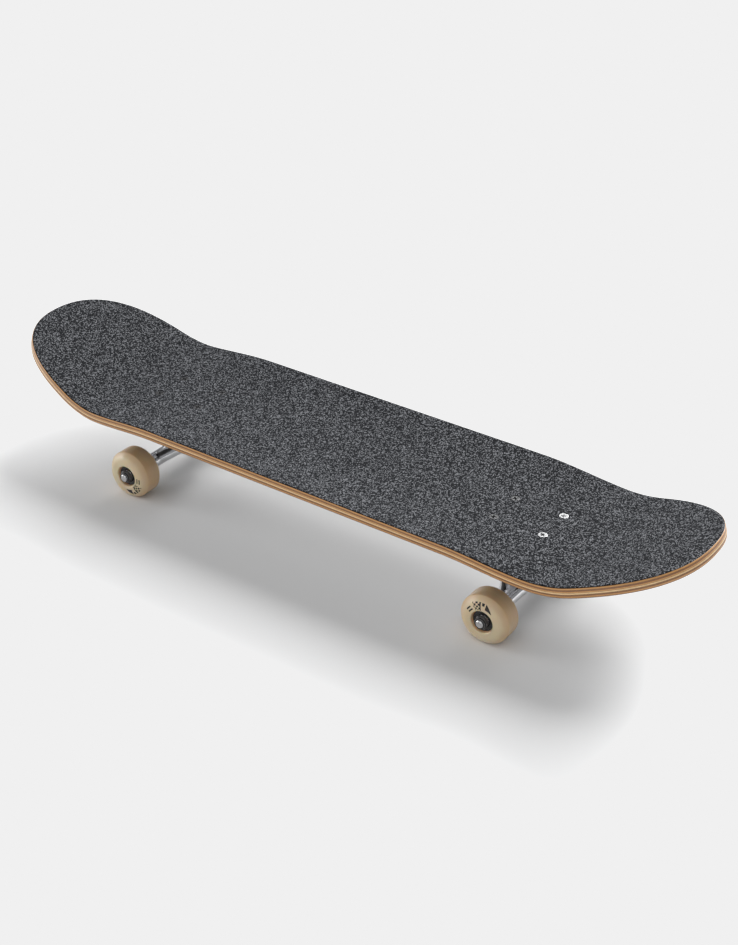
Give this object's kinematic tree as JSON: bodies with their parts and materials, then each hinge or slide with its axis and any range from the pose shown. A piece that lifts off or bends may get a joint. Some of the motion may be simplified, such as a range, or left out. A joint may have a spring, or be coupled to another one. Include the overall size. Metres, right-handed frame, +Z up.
{
  "type": "skateboard",
  "caption": "Street skateboard with a concave maple deck, grip tape, kingpin trucks that steer and cream wheels on ball bearings.",
  "frame": {"origin": "on the floor, under the middle of the board's length and width", "axes": "+X towards the nose, +Y towards the rider's left when facing the nose, +Z up"},
  "size_m": [0.8149, 0.2064, 0.1383],
  "materials": {
    "maple": "satin lacquer over seven maple plies",
    "grip": "matte silicon carbide grit",
    "cast_aluminium": "polished casting",
    "black_steel": "black oxide",
    "bright_steel": "zinc plated",
    "black_urethane": "satin",
    "black_rubber": "satin",
    "nylon": "moulded",
    "black_nylon": "moulded",
    "wheel_urethane": "satin cast urethane"
  },
  "bodies": {
    "board": {"deck": "maple", "grip_tape": "grip", "mounting_bolts_black": "black_steel", "mounting_bolts_silver": "bright_steel", "mounting_nuts": "black_steel", "mounting_nut_inserts": "nylon", "front_baseplate": "cast_aluminium", "front_pivot_cup": "black_urethane", "front_kingpin": "black_steel", "front_kingpin_nut": "black_steel", "front_kingpin_nut_insert": "nylon", "front_board_bushing": "black_urethane", "front_road_bushing": "black_urethane", "front_cup_washers": "bright_steel", "rear_baseplate": "cast_aluminium", "rear_pivot_cup": "black_urethane", "rear_kingpin": "black_steel", "rear_kingpin_nut": "black_steel", "rear_kingpin_nut_insert": "nylon", "rear_board_bushing": "black_urethane", "rear_road_bushing": "black_urethane", "rear_cup_washers": "bright_steel"},
    "front_hanger_body": {"front_hanger": "cast_aluminium", "front_axle": "bright_steel", "front_axle_nuts": "black_steel", "front_axle_nut_inserts": "black_nylon", "front_speed_washers": "bright_steel", "front_bearing_spacers": "bright_steel", "front_bearing_inner_races": "bright_steel"},
    "rear_hanger_body": {"rear_hanger": "cast_aluminium", "rear_axle": "bright_steel", "rear_axle_nuts": "black_steel", "rear_axle_nut_inserts": "black_nylon", "rear_speed_washers": "bright_steel", "rear_bearing_spacers": "bright_steel", "rear_bearing_inner_races": "bright_steel"},
    "front_left_wheel_body": {"front_left_wheel": "wheel_urethane", "front_left_bearing_outer_races": "bright_steel", "front_left_bearing_shields": "black_rubber"},
    "front_left_ball_body": {"front_left_bearing_balls": "bright_steel", "front_left_bearing_cages": "nylon"},
    "front_right_wheel_body": {"front_right_wheel": "wheel_urethane", "front_right_bearing_outer_races": "bright_steel", "front_right_bearing_shields": "black_rubber"},
    "front_right_ball_body": {"front_right_bearing_balls": "bright_steel", "front_right_bearing_cages": "nylon"},
    "rear_left_wheel_body": {"rear_left_wheel": "wheel_urethane", "rear_left_bearing_outer_races": "bright_steel", "rear_left_bearing_shields": "black_rubber"},
    "rear_left_ball_body": {"rear_left_bearing_balls": "bright_steel", "rear_left_bearing_cages": "nylon"},
    "rear_right_wheel_body": {"rear_right_wheel": "wheel_urethane", "rear_right_bearing_outer_races": "bright_steel", "rear_right_bearing_shields": "black_rubber"},
    "rear_right_ball_body": {"rear_right_bearing_balls": "bright_steel", "rear_right_bearing_cages": "nylon"}
  },
  "joints": [
    {"name": "front_steer", "type": "hinge", "parent": "board", "child": "front_hanger_body", "pos_m": [0.20784, 0, 0.0415], "axis": [0.8611, 0, 0.5084], "range_deg": [-16, 16], "stiffness_Nm_per_rad": 40, "deforming": ["front_board_bushing", "front_road_bushing"]},
    {"name": "rear_steer", "type": "hinge", "parent": "board", "child": "rear_hanger_body", "pos_m": [-0.19964, 0, 0.0415], "axis": [-0.8611, 0, 0.5084], "range_deg": [-16, 16], "stiffness_Nm_per_rad": 40, "deforming": ["rear_board_bushing", "rear_road_bushing"]},
    {"name": "front_left_spin", "type": "hinge", "parent": "front_hanger_body", "child": "front_left_wheel_body", "pos_m": [0.22734, 0.0836, 0.0265], "axis": [0, 1, 0], "continuous": true},
    {"name": "front_left_balls", "type": "hinge", "parent": "front_hanger_body", "child": "front_left_ball_body", "pos_m": [0.22734, 0.0836, 0.0265], "axis": [0, 1, 0], "continuous": true},
    {"name": "front_right_spin", "type": "hinge", "parent": "front_hanger_body", "child": "front_right_wheel_body", "pos_m": [0.22734, -0.0836, 0.0265], "axis": [0, 1, 0], "continuous": true},
    {"name": "front_right_balls", "type": "hinge", "parent": "front_hanger_body", "child": "front_right_ball_body", "pos_m": [0.22734, -0.0836, 0.0265], "axis": [0, 1, 0], "continuous": true},
    {"name": "rear_left_spin", "type": "hinge", "parent": "rear_hanger_body", "child": "rear_left_wheel_body", "pos_m": [-0.21914, 0.0836, 0.0265], "axis": [0, 1, 0], "continuous": true},
    {"name": "rear_left_balls", "type": "hinge", "parent": "rear_hanger_body", "child": "rear_left_ball_body", "pos_m": [-0.21914, 0.0836, 0.0265], "axis": [0, 1, 0], "continuous": true},
    {"name": "rear_right_spin", "type": "hinge", "parent": "rear_hanger_body", "child": "rear_right_wheel_body", "pos_m": [-0.21914, -0.0836, 0.0265], "axis": [0, 1, 0], "continuous": true},
    {"name": "rear_right_balls", "type": "hinge", "parent": "rear_hanger_body", "child": "rear_right_ball_body", "pos_m": [-0.21914, -0.0836, 0.0265], "axis": [0, 1, 0], "continuous": true}
  ],
  "couplings": [
    {"joint": "front_left_balls", "follows": "front_left_spin", "ratio": 0.6323},
    {"joint": "front_right_balls", "follows": "front_right_spin", "ratio": 0.6323},
    {"joint": "rear_left_balls", "follows": "rear_left_spin", "ratio": 0.6323},
    {"joint": "rear_right_balls", "follows": "rear_right_spin", "ratio": 0.6323}
  ]
}
